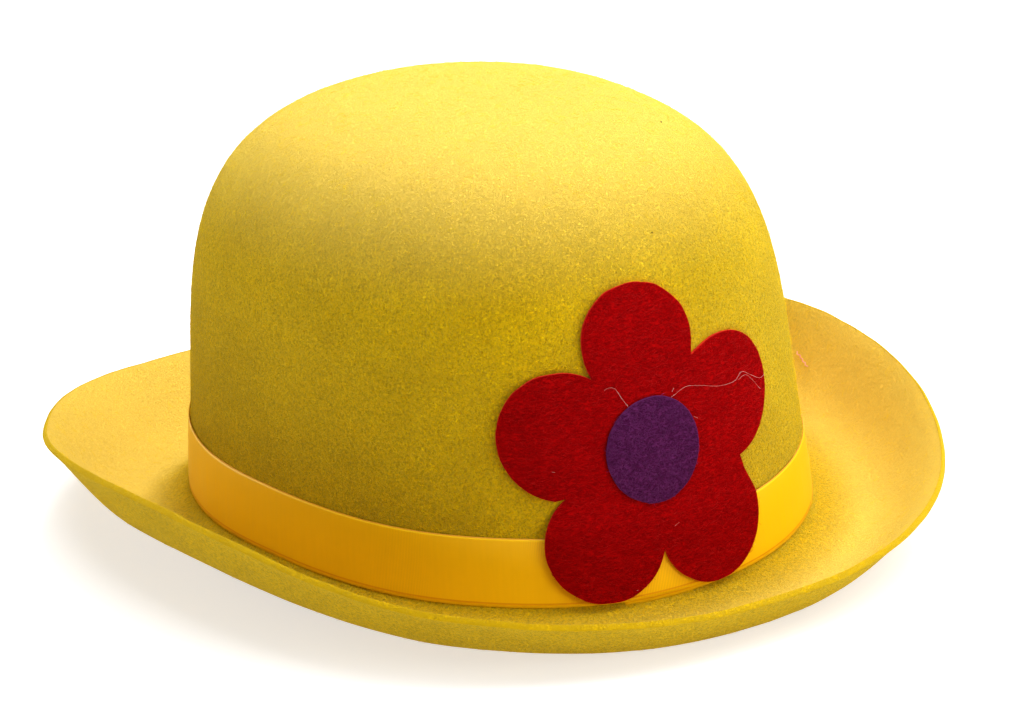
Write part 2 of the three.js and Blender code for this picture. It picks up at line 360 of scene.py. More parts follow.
class Tree:
    """Adds nodes to a node tree and joins them."""

    def __init__(self, tree: NodeTree) -> None:
        """Keep the tree to build in."""
        self.tree = tree

    def add(self, kind: str, inputs: dict[str | int, Value] | None = None, **settings: Value) -> Node:
        """Add a node.

        Args:
            kind: Blender's name of the node's type.
            inputs: Values or output sockets by input name or number.
            settings: Properties of the node.

        Returns:
            The new node.
        """
        node = self.tree.nodes.new(kind)
        for name, value in settings.items():
            setattr(node, name, value)
        for name, value in (inputs or {}).items():
            if isinstance(value, NodeSocket):
                self.tree.links.new(value, node.inputs[name])
            else:
                node.inputs[name].default_value = value
        return node

    def math(self, operation: str, *values: Value) -> NodeSocket:
        """Add a Math node and return its value."""
        return self.add("ShaderNodeMath", dict(enumerate(values)), operation=operation).outputs[0]

    def vector_math(self, operation: str, *values: Value) -> NodeSocket:
        """Add a Vector Math node and return its vector."""
        return self.add("ShaderNodeVectorMath", dict(enumerate(values)), operation=operation).outputs[0]

    def blend(self, share: Value, first: Value, second: Value) -> NodeSocket:
        """Add a colour Mix node and return its colour."""
        return self.add("ShaderNodeMix", {0: share, 6: first, 7: second}, data_type="RGBA").outputs[2]

    def between(self, value: Value, low: float, high: float,
                out: tuple[float, float] = (0.0, 1.0)) -> NodeSocket:
        """Add a smooth Map Range node and return its value."""
        inputs = {0: value, 1: low, 2: high, 3: out[0], 4: out[1]}
        return self.add("ShaderNodeMapRange", inputs, interpolation_type="SMOOTHSTEP").outputs[0]

    def attribute(self, name: str) -> NodeSocket:
        """Add an Attribute node and return its number."""
        return self.add("ShaderNodeAttribute", attribute_name=name).outputs["Fac"]

    def noise(self, vector: Value, scale: Value, detail: float = 2.0, warp: float = 0.0) -> NodeSocket:
        """Add a Noise Texture and return its value."""
        inputs = {"Vector": vector, "Scale": scale, "Detail": detail, "Distortion": warp}
        return self.add("ShaderNodeTexNoise", inputs).outputs[0]


def new_group(name: str, kind: str, inputs: dict[str, tuple],
              outputs: dict[str, str]) -> tuple[Tree, Node]:
    """Start a node group with named sockets.

    Args:
        name: Name of the group.
        kind: Type of the tree.
        inputs: Socket type and default value by name; a default of None is left as it is.
        outputs: Socket type by name.

    Returns:
        The tree's builder and its input node.
    """
    group = bpy.data.node_groups.new(name, kind)
    for label, (socket_type, default) in inputs.items():
        socket = group.interface.new_socket(label, in_out="INPUT", socket_type=socket_type)
        if default is not None:
            socket.default_value = default
    for label, socket_type in outputs.items():
        group.interface.new_socket(label, in_out="OUTPUT", socket_type=socket_type)
    tree = Tree(group)
    return tree, tree.add("NodeGroupInput")


def felt_grain_group() -> NodeTree:
    """Matted fibres of felt: winding strands, tufts between them and wide unevenness.

    Returns:
        The group, with the outputs Height, Strands, Tufts and Patches.
    """
    inputs = {
        "Vector": ("NodeSocketVector", None),
        "Strand Scale": ("NodeSocketFloat", 750.0),
        "Tuft Scale": ("NodeSocketFloat", 1100.0),
        "Patch Scale": ("NodeSocketFloat", 45.0),
    }
    outputs = {name: "NodeSocketFloat" for name in ("Height", "Strands", "Tufts", "Patches")}
    tree, given = new_group("felt_grain", "ShaderNodeTree", inputs, outputs)
    strands = None
    for step, warp, finer in ((0.0, 1.4, 1.0), (7.3, 0.8, 1.35), (15.1, 2.0, 0.75)):
        moved = tree.vector_math("ADD", given.outputs["Vector"], (step, -step, step))
        scale = tree.math("MULTIPLY", given.outputs["Strand Scale"], finer)
        field = tree.noise(moved, scale, 1.0, warp)
        off = tree.math("ABSOLUTE", tree.math("SUBTRACT", field, 0.5))
        line = tree.between(off, 0.0, 0.055, (1.0, 0.0))
        strands = line if strands is None else tree.math("MAXIMUM", strands, line)
    tufts = tree.noise(given.outputs["Vector"], given.outputs["Tuft Scale"], 3.0, 0.6)
    patches = tree.noise(given.outputs["Vector"], given.outputs["Patch Scale"], 3.0, 0.2)
    height = tree.math("ADD", tree.math("MULTIPLY", strands, 0.5), tree.math("MULTIPLY", tufts, 1.1))
    tree.add("NodeGroupOutput", {"Height": height, "Strands": strands, "Tufts": tufts, "Patches": patches})
    return tree.tree


def satin_weave_group() -> NodeTree:
    """Cross ribs and fine threads of a satin ribbon.

    Its Vector is the ribbon's own map: metres along it and across it.

    Returns:
        The group, with the outputs Height, Ribs and Streaks.
    """
    inputs = {
        "Vector": ("NodeSocketVector", None),
        "Rib Pitch": ("NodeSocketFloat", 0.5 * MM),
        "Thread Pitch": ("NodeSocketFloat", 0.16 * MM),
    }
    outputs = {name: "NodeSocketFloat" for name in ("Height", "Ribs", "Streaks")}
    tree, given = new_group("satin_weave", "ShaderNodeTree", inputs, outputs)
    axes = tree.add("ShaderNodeSeparateXYZ", {0: given.outputs["Vector"]})
    wander = tree.noise(given.outputs["Vector"], 60.0, 2.0)
    along = tree.math("ADD", axes.outputs[0], tree.math("MULTIPLY", wander, 0.4 * MM))

    def wave(value: Value, pitch: Value) -> NodeSocket:
        """A wave of 0 to 1 over a distance of one pitch."""
        turned = tree.math("MULTIPLY", tree.math("DIVIDE", value, pitch), FULL_TURN)
        return tree.math("ADD", tree.math("MULTIPLY", tree.math("SINE", turned), 0.5), 0.5)

    ribs = wave(along, given.outputs["Rib Pitch"])
    threads = wave(axes.outputs[1], given.outputs["Thread Pitch"])
    stretched = tree.vector_math("MULTIPLY", given.outputs["Vector"], (900.0, 60.0, 1.0))
    streaks = tree.noise(stretched, 1.0, 3.0)
    height = tree.math("ADD", tree.math("MULTIPLY", ribs, 0.7), tree.math("MULTIPLY", threads, 0.3))
    tree.add("NodeGroupOutput", {"Height": height, "Ribs": ribs, "Streaks": streaks})
    return tree.tree


# Finishes


Colour = tuple[float, float, float]


def opaque(colour: Colour) -> tuple[float, float, float, float]:
    """The colour with a full last value, as Blender's sockets want it."""
    return (*colour, 1.0)


def new_material(name: str) -> tuple[Material, Tree]:
    """Start a material, and give it with the builder of its empty node tree."""
    material = bpy.data.materials.new(name)
    material.use_nodes = True
    material.node_tree.nodes.clear()
    return material, Tree(material.node_tree)


@dataclass(frozen=True)
class FeltFinish:
    """A felt: its colours with a painted highlight, how its fibres lie and how they catch the light."""

    name: str
    colour: Colour
    deep: Colour
    pale: Colour
    # cut edge colour: on the red and purple felts a painted highlight, lighter than the felt; on the yellow
    # felt near its own colour
    cut_edge_and_highlight: Colour
    # painted highlight: the paler, bluer colour painted on the crown's top and the brim's upper face
    faded: Colour
    sheen: float
    sheen_tint: Colour
    sheen_roughness: float = 0.45
    roughness: float = 0.95
    strand_scale: float = 900.0
    tuft_scale: float = 1250.0
    stretch: Colour = (1.0, 1.0, 1.0)
    grain: float = 0.34 * MM
    contrast: float = 0.4
    specular: float = 0.03

    def material(self, grain: NodeTree) -> Material:
        """Build the felt's material on the shared group of matted fibres."""
        material, tree = new_material(self.name)
        place = tree.add("ShaderNodeTexCoord").outputs["Object"]
        scaled = tree.vector_math("MULTIPLY", place, self.stretch)
        felt = tree.add("ShaderNodeGroup", node_tree=grain)
        tree.tree.links.new(scaled, felt.inputs["Vector"])
        felt.inputs["Strand Scale"].default_value = self.strand_scale
        felt.inputs["Tuft Scale"].default_value = self.tuft_scale
        nap = tree.attribute("nap")
        edge = tree.attribute("edge")
        # Painted highlight: mask of the crown's top and the brim's upper face; the grain is also made quieter
        # there
        faded = tree.attribute("faded")
        quiet = tree.between(faded, 0.0, 1.0, (1.0, 0.3))
        tufts = tree.between(felt.outputs["Tufts"], 0.32, 0.62)
        contrast = tree.math("MULTIPLY", quiet, self.contrast)
        pits = tree.math("MULTIPLY", tree.math("SUBTRACT", 1.0, tufts), contrast)
        colour = tree.blend(pits, opaque(self.colour), opaque(self.deep))
        strands = tree.math("MULTIPLY", felt.outputs["Strands"], tree.math("MULTIPLY", nap, 0.55))
        colour = tree.blend(strands, colour, opaque(self.pale))
        patches = tree.between(felt.outputs["Patches"], 0.35, 0.7, (0.0, 0.18))
        colour = tree.blend(patches, colour, opaque(self.deep))
        # Painted highlight: a paler, bluer colour blended onto the upper faces where the light falls
        colour = tree.blend(faded, colour, opaque(self.faded))
        # Cut edges: on the red and purple felts a painted highlight, lighter than the felt
        colour = tree.blend(edge, colour, opaque(self.cut_edge_and_highlight))
        raised = tree.math("ADD", tree.math("MULTIPLY", nap, 0.6), 0.4)
        depth = tree.math("MULTIPLY", tree.math("MULTIPLY", felt.outputs["Height"], raised), quiet)
        bump = tree.add("ShaderNodeBump", {"Height": depth, "Distance": self.grain, "Strength": 1.0})
        shader = tree.add("ShaderNodeBsdfPrincipled", {
            "Base Color": colour,
            "Roughness": self.roughness,
            "Normal": bump.outputs[0],
            "Sheen Weight": self.sheen,
            "Sheen Roughness": self.sheen_roughness,
            "Sheen Tint": opaque(self.sheen_tint),
            "Specular IOR Level": self.specular,
        })
        tree.add("ShaderNodeOutputMaterial", {0: shader.outputs[0]})
        return material


@dataclass(frozen=True)
class SatinFinish:
    """A satin ribbon with woven edges and a painted shadow along its top edge."""

    name: str
    colour: Colour
    # darker line colour: a woven line near the low edge, and a painted shadow along the top edge
    thread_line_and_edge_shadow: Colour
    woven_edge: Colour
    roughness: float = 0.42
    rib_contrast: float = 0.24
    relief: float = 0.015 * MM
    width: float = RIBBON_WIDTH

    def material(self, weave: NodeTree) -> Material:
        """Build the ribbon's material on the shared group of ribs and threads."""
        material, tree = new_material(self.name)
        strip = tree.add("ShaderNodeUVMap", uv_map="strip").outputs[0]
        cloth = tree.add("ShaderNodeGroup", node_tree=weave)
        tree.tree.links.new(strip, cloth.inputs["Vector"])
        across = tree.add("ShaderNodeSeparateXYZ", {0: strip}).outputs[1]
        share = tree.math("DIVIDE", across, self.width)
        streaks = tree.between(cloth.outputs["Streaks"], 0.3, 0.7, (0.985, 1.01))
        showing = tree.between(tree.noise(strip, 14.0, 1.0), 0.48, 0.58, (0.0, self.rib_contrast))
        ribs = tree.math("MULTIPLY", tree.math("SUBTRACT", cloth.outputs["Ribs"], 0.6), showing)
        strength = tree.math("ADD", streaks, ribs)
        scaled = tree.add("ShaderNodeVectorMath", {0: self.colour, "Scale": strength}, operation="SCALE")
        colour = scaled.outputs[0]

        def line(middle: float, half: float) -> NodeSocket:
            """A soft line across the ribbon at a share of its width."""
            off = tree.math("ABSOLUTE", tree.math("SUBTRACT", share, middle))
            return tree.between(off, half * 0.5, half, (1.0, 0.0))

        edges = tree.math("MAXIMUM", line(0.012, 0.02), line(0.975, 0.012))
        colour = tree.blend(tree.math("MULTIPLY", edges, 0.7), colour, opaque(self.woven_edge))
        # darker lines: a woven line near the low edge, and a painted shadow along the top edge
        threads = tree.math("MAXIMUM", line(0.055, 0.016), line(0.995, 0.014))
        colour = tree.blend(tree.math("MULTIPLY", threads, 0.75), colour, opaque(self.thread_line_and_edge_shadow))
        rough_range = (self.roughness - 0.02, self.roughness + 0.03)
        rough_share = tree.between(cloth.outputs["Streaks"], 0.25, 0.75, rough_range)
        bump = tree.add("ShaderNodeBump", {
            "Height": cloth.outputs["Height"], "Distance": self.relief, "Strength": 0.7})
        shader = tree.add("ShaderNodeBsdfPrincipled", {
            "Base Color": colour,
            "Roughness": rough_share,
            "Normal": bump.outputs[0],
            "Sheen Weight": 0.05,
            "Sheen Roughness": 0.3,
            "Sheen Tint": opaque((1.0, 0.8, 0.3)),
            "Specular IOR Level": 0.18,
            "Anisotropic": 0.3,
        })
        tree.add("ShaderNodeOutputMaterial", {0: shader.outputs[0]})
        return material


@dataclass(frozen=True)
class FibreFinish:
    """Loose fibres: one colour that varies a little from fibre to fibre along the hat."""

    name: str
    colour: Colour
    other: Colour
    roughness: float = 0.7

    def material(self) -> Material:
        """Build the fibres' material."""
        material, tree = new_material(self.name)
        place = tree.add("ShaderNodeTexCoord").outputs["Object"]
        share = tree.between(tree.noise(place, 300.0, 1.0), 0.35, 0.65)
        colour = tree.blend(share, opaque(self.colour), opaque(self.other))
        shader = tree.add("ShaderNodeBsdfPrincipled", {
            "Base Color": colour, "Roughness": self.roughness, "Specular IOR Level": 0.05})
        tree.add("ShaderNodeOutputMaterial", {0: shader.outputs[0]})
        return material


# The yellow felt's painted highlight colour is a paler, bluer painted highlight for its top and brim.
YELLOW_FELT = FeltFinish(
    "yellow_felt", colour=(0.77, 0.45, 0.0012), deep=(0.34, 0.175, 0.0004), pale=(0.96, 0.66, 0.005),
    cut_edge_and_highlight=(0.74, 0.44, 0.003), faded=(0.86, 0.60, 0.125), sheen=0.45, sheen_tint=(1.0, 0.92, 0.16),
    sheen_roughness=0.22, grain=0.7 * MM, contrast=0.75)
CRAFT_FELT = {"strand_scale": 700.0, "tuft_scale": 1200.0, "grain": 0.3 * MM, "contrast": 0.6, "specular": 0.01}
# The red and purple cut edge colours are painted highlights, lighter than the felt.
RED_FELT = FeltFinish(
    "red_felt", colour=(0.25, 0.0003, 0.0010), deep=(0.13, 0.0001, 0.0005), pale=(0.45, 0.003, 0.003),
    cut_edge_and_highlight=(0.62, 0.03, 0.012), faded=(0.3, 0.001, 0.001), sheen=0.0, sheen_tint=(1.0, 0.25, 0.2),
    stretch=(0.45, 0.45, 1.3), **CRAFT_FELT)
PURPLE_FELT = FeltFinish(
    "purple_felt", colour=(0.055, 0.0055, 0.040), deep=(0.028, 0.002, 0.019), pale=(0.12, 0.02, 0.10),
    cut_edge_and_highlight=(0.11, 0.018, 0.085), faded=(0.055, 0.0055, 0.040), sheen=0.0, sheen_tint=(0.8, 0.35, 0.8),
    stretch=(0.6, 0.6, 1.1), **CRAFT_FELT)
# The darker line colour also paints the shadow along the ribbon's top edge.
YELLOW_SATIN = SatinFinish(
    "yellow_satin", colour=(0.85, 0.465, 0.0005), thread_line_and_edge_shadow=(0.66, 0.24, 0.0004),
    woven_edge=(0.92, 0.58, 0.007))
YELLOW_FIBRE = FibreFinish("yellow_fibre", (0.95, 0.63, 0.004), (1.0, 0.75, 0.014))
RED_FIBRE = FibreFinish("red_fibre", (0.36, 0.0012, 0.002), (0.50, 0.008, 0.008))
PURPLE_FIBRE = FibreFinish("purple_fibre", (0.075, 0.009, 0.058), (0.14, 0.025, 0.12))
DARK_SPECK = FibreFinish("dark_speck", (0.045, 0.03, 0.01), (0.03, 0.02, 0.01))
STRAY_THREAD = FibreFinish("stray_thread", (0.80, 0.30, 0.22), (0.85, 0.42, 0.30))
LINT = FibreFinish("white_lint", (0.72, 0.48, 0.45), (0.60, 0.22, 0.20))


# Loose fibres


def run_tree(name: str, mesh: Mesh, tree: NodeTree,
             values: dict[str, Value]) -> Object:
    """Run a geometry node tree on a mesh and keep the result as a plain mesh.

    Args:
        name: Name of the new piece.
        mesh: What the tree starts from.
        tree: The tree.
        values: Its inputs by name.

    Returns:
        The new object.
    """
    host = bpy.data.objects.new(name + "_host", mesh)
    bpy.context.scene.collection.objects.link(host)
    modifier = host.modifiers.new("tree", "NODES")
    modifier.node_group = tree
    for item in tree.interface.items_tree:
        if getattr(item, "in_out", "") == "INPUT" and item.name in values:
            modifier[item.identifier] = values[item.name]
    host.update_tag()
    evaluated = host.evaluated_get(bpy.context.evaluated_depsgraph_get())
    result = bpy.data.meshes.new_from_object(evaluated)
    host.modifiers.clear()
    bpy.data.objects.remove(host)
    result.name = name
    piece = bpy.data.objects.new(name, result)
    bpy.context.scene.collection.objects.link(piece)
    return piece


@dataclass(frozen=True)
class Fuzz:
    """Loose fibres scattered on a piece."""

    name: str
    nap: str
    density: float
    length: float = 2.9 * MM
    radius: float = 0.026 * MM
    rise: float = 0.35 * MM
    lie: Lie = Lie.ANY_WAY
    seed: int = 5

    def grow(self, piece: Object, tree: NodeTree,
             material: Material) -> Object:
        """Scatter the fibres over a piece and make them a plain mesh."""
        return run_tree(self.name, piece.data, tree, {
            "Nap": self.nap, "Density": self.density, "Length": self.length, "Radius": self.radius,
            "Rise": self.rise, "Turn": self.lie.value, "Seed": self.seed, "Material": material,
        })


def realised(tree: Tree, last: Node, material: NodeSocket) -> NodeTree:
    """End a geometry tree: make its shapes real, give them the material and put them out."""
    real = tree.add("GeometryNodeRealizeInstances", {0: last.outputs[0]})
    dressed = tree.add("GeometryNodeSetMaterial", {0: real.outputs[0], "Material": material})
    tree.add("NodeGroupOutput", {0: dressed.outputs[0]})
    return tree.tree


def fibre_tree() -> NodeTree:
    """Build the scatter tree: short bent fibres on the points of a surface."""
    inputs = {
        "Geometry": ("NodeSocketGeometry", None),
        "Nap": ("NodeSocketString", "nap"),
        "Density": ("NodeSocketFloat", 50000.0),
        "Length": ("NodeSocketFloat", 3.0 * MM),
        "Radius": ("NodeSocketFloat", 0.04 * MM),
        "Rise": ("NodeSocketFloat", 0.4 * MM),
        "Turn": ("NodeSocketFloat", math.pi),
        "Seed": ("NodeSocketInt", 1),
        "Material": ("NodeSocketMaterial", None),
    }
    tree, given = new_group("matted_fibres", "GeometryNodeTree", inputs, {"Geometry": "NodeSocketGeometry"})
    out = given.outputs

    def vector(x: Value, y: Value, z: Value) -> NodeSocket:
        """A vector of three values."""
        return tree.add("ShaderNodeCombineXYZ", {0: x, 1: y, 2: z}).outputs[0]

    def share(value: Value, part: float) -> NodeSocket:
        """A part of a value."""
        return tree.math("MULTIPLY", value, part)

    profile = tree.add("GeometryNodeCurvePrimitiveCircle", {"Resolution": 3, "Radius": out["Radius"]})
    shapes = tree.add("GeometryNodeGeometryToInstance")
    for bend, hook, climb in ((0.30, 0.10, 1.0), (-0.42, 0.38, 0.7), (0.16, -0.34, 1.5), (0.55, 0.60, 0.4)):
        length = out["Length"]
        curve = tree.add("GeometryNodeCurvePrimitiveBezierSegment", {
            "Resolution": 4,
            "Start": vector(share(length, -0.5), 0.0, share(out["Rise"], -0.15)),
            "Start Handle": vector(share(length, -0.2), share(length, bend), share(out["Rise"], climb)),
            "End Handle": vector(share(length, 0.2), share(length, -hook), share(out["Rise"], climb * 0.8)),
            "End": vector(share(length, 0.4), share(length, hook * 0.6), share(out["Rise"], 0.1)),
        })
        tube = tree.add("GeometryNodeCurveToMesh", {
            "Curve": curve.outputs[0], "Profile Curve": profile.outputs[0], "Fill Caps": True})
        tree.tree.links.new(tube.outputs[0], shapes.inputs[0])
    nap = tree.add("GeometryNodeInputNamedAttribute", {"Name": out["Nap"]}, data_type="FLOAT")
    density = tree.math("MULTIPLY", out["Density"], nap.outputs[0])
    points = tree.add("GeometryNodeDistributePointsOnFaces", {
        "Mesh": out["Geometry"], "Density": density, "Seed": out["Seed"]})
    tilt = 0.12
    spin = tree.add("FunctionNodeRandomValue", {
        0: vector(-tilt, -tilt, tree.math("MULTIPLY", out["Turn"], -1.0)),
        1: vector(tilt, tilt, out["Turn"]),
        "Seed": tree.math("ADD", out["Seed"], 11),
    }, data_type="FLOAT_VECTOR")
    euler = tree.add("FunctionNodeEulerToRotation", {0: spin.outputs[0]})
    turned = tree.add("FunctionNodeRotateRotation", {
        0: points.outputs["Rotation"], 1: euler.outputs[0]}, rotation_space="LOCAL")
    size = tree.add("FunctionNodeRandomValue", {2: 0.45, 3: 1.25, "Seed": tree.math("ADD", out["Seed"], 23)})
    placed = tree.add("GeometryNodeInstanceOnPoints", {
        "Points": points.outputs["Points"], "Instance": shapes.outputs[0], "Pick Instance": True,
        "Rotation": turned.outputs[0], "Scale": size.outputs[1]})
    return realised(tree, placed, out["Material"])


def hair_tree() -> NodeTree:
    """Build the tree that turns a line of edges into a fine closed hair."""
    inputs = {
        "Geometry": ("NodeSocketGeometry", None),
        "Radius": ("NodeSocketFloat", 0.05 * MM),
        "Material": ("NodeSocketMaterial", None),
    }
    tree, given = new_group("hair_along_line", "GeometryNodeTree", inputs, {"Geometry": "NodeSocketGeometry"})
    out = given.outputs
    line = tree.add("GeometryNodeMeshToCurve", {0: out["Geometry"]})
    profile = tree.add("GeometryNodeCurvePrimitiveCircle", {"Resolution": 5, "Radius": out["Radius"]})
    tube = tree.add("GeometryNodeCurveToMesh", {
        "Curve": line.outputs[0], "Profile Curve": profile.outputs[0], "Fill Caps": True})
    return realised(tree, tube, out["Material"])


# Pieces


@dataclass
class FeltHat:
    """The moulded felt: crown and brim in one."""

    form: HatForm
    around: int = 360
    dome_rows: int = 66
    wall_rows: int = 26
    brim_rows: int = 34
    edge_rows: int = 7
    inner_rows: int = 22
    dent: float = 0.55 * MM
    dimple: float = 0.10 * MM
    edge_waver: float = 0.35 * MM
    edge_bulge: float = 0.55 * MM
    dull_nap: float = 0.45
    inner_nap: float = 0.15
    # Painted highlight: how strongly the crown's top and the brim's upper face are painted paler, and from what
    # height on the crown
    top_highlight: float = 0.7
    highlight_from: float = 92 * MM
    brim_highlight: float = 0.6

    def dome_heights(self, inset: float, rows: int) -> Array:
        """Heights of even rings from near the top down to the shoulder, at an inset."""
        rise = self.form.height - inset - self.form.shoulder
        lean = np.linspace(math.pi / 2, 0, 4000)
        z = self.form.shoulder + rise * np.sin(lean) ** (2 / self.form.squareness)
        radius = self.form.crown_width / 2 * np.cos(lean) ** (2 / self.form.squareness)
        arc = np.concatenate([[0], np.cumsum(np.hypot(np.diff(z), np.diff(radius)))])
        return np.interp(np.linspace(0, 1, rows + 1)[1:] * arc[-1], arc, z)

    def build(self) -> Object:
        """Build the felt with its soft unevenness, a rounded foot and a rounded rim."""
        form = self.form
        t = np.linspace(0, FULL_TURN, self.around, endpoint=False)
        foot, upper, under, tangent = form.brim(t, self.brim_rows)
        rows, nap, brim_nap, edge, faded = [], [], [], [], []

        def keep(ring: Array, crown_share: float, brim_share: float, edge_share: float,
                 highlight_share: float = 0.0) -> None:
            """Add a ring with its shares of nap, cut edge and painted highlight."""
            rows.append(ring)
            faded.append(highlight_share)
            nap.append(crown_share)
            brim_nap.append(brim_share)
            edge.append(edge_share)

        for z in self.dome_heights(0, self.dome_rows):
            # painted highlight towards the crown's top
            highlight = self.top_highlight * float(smooth_share(z, self.highlight_from, form.height))
            keep(form.crown(t, z), 1, 0, 0, highlight)
        for step in range(1, self.wall_rows + 1):
            share = step / self.wall_rows
            keep(form.crown(t, form.shoulder + (foot - form.shoulder) * share), 1, 0, 0)
        foot_row = len(rows) - 1
        for step in range(1, self.brim_rows + 1):
            share = step / self.brim_rows
            # painted highlight on the brim's upper face
            keep(upper[step], 0, 1, 0, self.brim_highlight * float(smooth_share(share, 0.0, 0.3)))
        rim = len(rows) - 1
        middle, half = (upper[-1] + under[-1]) / 2, (upper[-1] - under[-1]) / 2
        for turn in np.linspace(0, math.pi, self.edge_rows + 2)[1:-1]:
            bulge = self.edge_bulge * math.sin(turn) ** 0.5
            flat = math.copysign(abs(math.cos(turn)) ** 0.5, math.cos(turn))
            keep(middle + half * flat + tangent[-1] * bulge, 0, 0.4, 1)
        for step in range(self.brim_rows, -1, -1):
            keep(under[step], 0, 0.3, 0)
        under_foot = len(rows) - 1
        for step in range(self.wall_rows // 2 - 1, 0, -1):
            share = step / (self.wall_rows // 2)
            heights = form.shoulder + (foot - form.shoulder) * share
            keep(form.crown(t, heights, form.felt), 0, self.inner_nap, 0)
        for z in self.dome_heights(form.felt, self.inner_rows)[::-1]:
            keep(form.crown(t, z, form.felt), 0, self.inner_nap, 0)
        rings = np.stack(rows)
        for centre in (foot_row, under_foot):
            window = slice(centre - 1, centre + 2)
            rings[window] = (rings[centre - 2:centre + 1] + 2 * rings[window] + rings[centre:centre + 3]) / 4
        top = form.crown(0, form.height)
        inner_top = form.crown(0, form.height - form.felt, form.felt)
        rings = self.weather(rings, rim)
        piece = closed_loft("felt_hat", top, rings, inner_top)
        for name, shares in (("crown_nap", nap), ("brim_nap", brim_nap), ("edge", edge), ("faded", faded)):
            values = np.repeat(np.array(shares, float), self.around)
            # the painted highlight on the brim is left out inside the curl
            if name == "faded":
                on_brim = np.repeat(np.array(brim_nap) > 0, self.around)
                values = np.where(on_brim, values * self.kept_highlight(rings.reshape(-1, 3)), values)
            set_attribute(piece, name, np.concatenate([[shares[0]], values, [shares[-1]]]))
        soft = np.repeat(np.maximum(np.array(nap), self.dull_nap * (np.array(nap) == 0)), self.around)
        set_attribute(piece, "nap", np.concatenate([[1], soft, [self.dull_nap]]))
        return piece

    def kept_highlight(self, points: Array) -> Array:
        """Share of the painted highlight that stays: little of it inside the curl at the left of the back."""
        left = smooth_share(points[:, 0], 0.0, 60 * MM)
        back = smooth_share(points[:, 1], -30 * MM, 40 * MM)
        return 1 - 0.9 * left * back

    def weather(self, rings: Array, rim: int) -> Array:
        """Push the rings about as a moulded felt is uneven.

        Args:
            rings: Points by ring and by place along it.
            rim: Number of the ring at the brim's upper edge.

        Returns:
            The moved points.
        """
        low = rings.copy()
        low[..., 2] *= 0.8
        push = self.dent * rough(low, 42 * MM, 3.0) + self.dimple * rough(low, 9 * MM, 8.0)
        centre = np.array([0, self.form.shift, 50 * MM])
        away = rings - centre
        away /= np.linalg.norm(away, axis=-1, keepdims=True)
        moved = rings + away * push[..., None]
        waver = self.edge_waver * rough(rings[rim:rim + 1], 11 * MM, 20.0)
        for ring in range(rim - 6, rim + self.edge_rows + 7):
            near = max(0.0, 1 - abs(ring - rim - self.edge_rows / 2) / (self.edge_rows / 2 + 6))
            moved[ring, :, 2] += waver[0] * near
        moved[..., 2] = np.where(rings[..., 2] < 0.05 * MM, rings[..., 2], np.maximum(moved[..., 2], 0))
        return moved


@dataclass
class Ribbon:
    """The satin ribbon round the foot of the crown, lapped behind the flower."""

    form: HatForm
    width: float = RIBBON_WIDTH
    thickness: float = 0.34 * MM
    seat: float = 0.24 * MM
    layer_gap: float = 0.22 * MM
    above_foot: float = 1.0 * MM
    lap: float = 28 * MM
    lap_middle: float = -10 * MM
    lap_dip: float = 0.8 * MM
    lap_rise: float = 0.8 * MM
    lap_run: float = 45 * MM
    lap_step: float = 9 * MM
    along: int = 640
    across: int = 20
    ripple: float = 0.16 * MM
    puff: float = 0.10 * MM
    thin_edge: float = 0.06 * MM

    def path(self) -> tuple[Array, Array, Array, Array]:
        """Distances along the ribbon, its plan angles, low edge heights and seats."""
        form = self.form
        front_foot = float(form.brim(np.array([FRONT]), 40)[0][0])
        middle = front_foot + self.above_foot + self.width / 2
        arc, turns = form.arc_table(middle)
        length = float(arc[-1])
        start = self.lap_middle - self.lap / 2
        end = length + self.lap_middle + self.lap / 2
        distance = np.linspace(start, end, self.along + 1)
        t = np.interp(np.mod(distance, length), arc, turns)
        foot = form.brim(t, 40)[0]
        lifted = length + start
        over = smooth_share(distance, lifted - self.lap_step, lifted)
        climb = self.lap_rise * smooth_share(distance, end - self.lap_run, end)
        dip = self.lap_dip * (1 - smooth_share(distance, start, start + self.lap_run))
        seat = self.seat + (self.thickness + self.layer_gap) * over
        return distance - start, t, foot + self.above_foot + climb - dip, seat

    def build(self) -> Object:
        """Build the ribbon as a thin closed strip with its map of metres along and across."""
        distance, t, low, seat = self.path()
        shares = np.linspace(0, 1, self.across + 1)
        waves = rough(np.stack([distance, 0 * distance, 0 * distance], axis=-1), 17 * MM, 31.0)
        rings = []
        for share, side in [(s, 1) for s in shares] + [(s, 0) for s in shares[::-1]]:
            z = low + self.width * share
            puff = math.sin(math.pi * share) * (self.puff + self.ripple * np.maximum(waves, 0))
            edge = self.thin_edge * (min(share, 1 - share) < 0.01)
            rings.append(self.form.stand_off(t, z, seat + puff + side * (self.thickness - 2 * edge) + edge))
        grid = np.stack(rings, axis=1)
        ends = [grid[0].mean(axis=0), grid[-1].mean(axis=0)]
        piece = closed_loft("satin_ribbon", ends[0], grid, ends[1])
        across = np.concatenate([shares, shares[::-1]]) * self.width
        coordinates = np.zeros((len(piece.data.vertices), 2))
        coordinates[1:-1, 0] = np.repeat(distance, len(across))
        coordinates[1:-1, 1] = np.tile(across, len(distance))
        coordinates[0] = (distance[0], self.width / 2)
        coordinates[-1] = (distance[-1], self.width / 2)
        corners = np.empty(len(piece.data.loops), dtype=np.int32)
        piece.data.loops.foreach_get("vertex_index", corners)
        layer = piece.data.uv_layers.new(name="strip")
        layer.data.foreach_set("uv", coordinates[corners].astype(np.float32).ravel())
        return piece

    def length(self) -> float:
        """Length of the ribbon before it was wrapped."""
        return float(self.path()[0][-1])


@dataclass(frozen=True)
class Petal:
    """One petal: its turn in degrees, and the shares that set its length and its lobe.

    notch_turn and notch_reach place the notch after it.
    """

    turn: float
    reach: float
    fullness: float
    notch_turn: float
    notch_reach: float


